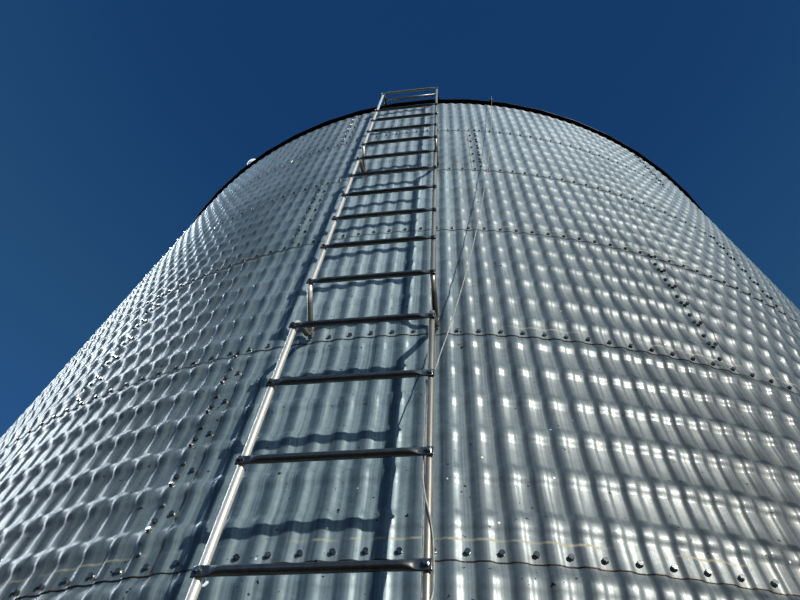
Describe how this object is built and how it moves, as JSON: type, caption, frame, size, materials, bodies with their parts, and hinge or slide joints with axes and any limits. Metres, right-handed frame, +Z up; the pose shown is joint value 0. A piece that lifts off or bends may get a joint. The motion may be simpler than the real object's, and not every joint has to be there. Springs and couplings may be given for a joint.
{
  "type": "grain silo",
  "caption": "Round grain silo of galvanised pressed sheet with a ribbed conical roof, a fill lid, a small roof vent, an outside ladder and a pull cord.",
  "frame": {"origin": "middle of the object's box on the ground, which lies 41 mm from the silo's axis towards the ladder", "axes": "+Z up; the ladder stands on the -Y side; +X is to the right for someone who faces the ladder"},
  "size_m": [6.5474, 6.6296, 9.0731],
  "materials": {
    "wall_sheet": "galvanised, weathered satin",
    "roof_sheet": "galvanised, weathered satin",
    "pipe_steel": "galvanised, bright",
    "base_steel": "galvanised, dull",
    "white_plastic": "matt, weathered",
    "cord_fibre": "twisted fibre, weathered"
  },
  "bodies": {
    "root": {"base_angle_left": "base_steel", "base_angle_right": "base_steel", "cord_eye": "pipe_steel", "eave_bar": "pipe_steel", "fill_collar": "roof_sheet", "fill_lid": "roof_sheet", "ladder_1_rail_left": "pipe_steel", "ladder_1_rail_right": "pipe_steel", "ladder_2_rail_left": "pipe_steel", "ladder_2_rail_right": "pipe_steel", "ladder_3_rail_left": "pipe_steel", "ladder_3_rail_right": "pipe_steel", "ladder_4_rail_left": "pipe_steel", "ladder_4_rail_right": "pipe_steel", "pull_cord": "cord_fibre", "roof_panel_1": "roof_sheet", "roof_panel_2": "roof_sheet", "roof_panel_3": "roof_sheet", "roof_panel_4": "roof_sheet", "roof_vent": "white_plastic", "rung_01": "pipe_steel", "rung_02": "pipe_steel", "rung_03": "pipe_steel", "rung_04": "pipe_steel", "rung_05": "pipe_steel", "rung_06": "pipe_steel", "rung_07": "pipe_steel", "rung_08": "pipe_steel", "rung_09": "pipe_steel", "rung_10": "pipe_steel", "rung_11": "pipe_steel", "rung_12": "pipe_steel", "rung_13": "pipe_steel", "rung_14": "pipe_steel", "rung_15": "pipe_steel", "rung_16": "pipe_steel", "rung_17": "pipe_steel", "rung_18": "pipe_steel", "rung_19": "pipe_steel", "rung_20": "pipe_steel", "rung_21": "pipe_steel", "rung_22": "pipe_steel", "rung_23": "pipe_steel", "wall_ring_1_left": "wall_sheet", "wall_ring_1_right": "wall_sheet", "wall_ring_2_left": "wall_sheet", "wall_ring_2_right": "wall_sheet", "wall_ring_3_left": "wall_sheet", "wall_ring_3_right": "wall_sheet", "wall_ring_4_left": "wall_sheet", "wall_ring_4_right": "wall_sheet", "wall_ring_5_left": "wall_sheet", "wall_ring_5_right": "wall_sheet", "wall_ring_6_left": "wall_sheet", "wall_ring_6_right": "wall_sheet", "wall_ring_7_left": "wall_sheet", "wall_ring_7_right": "wall_sheet", "wall_ring_8_left": "wall_sheet", "wall_ring_8_right": "wall_sheet"}
  },
  "joints": []
}
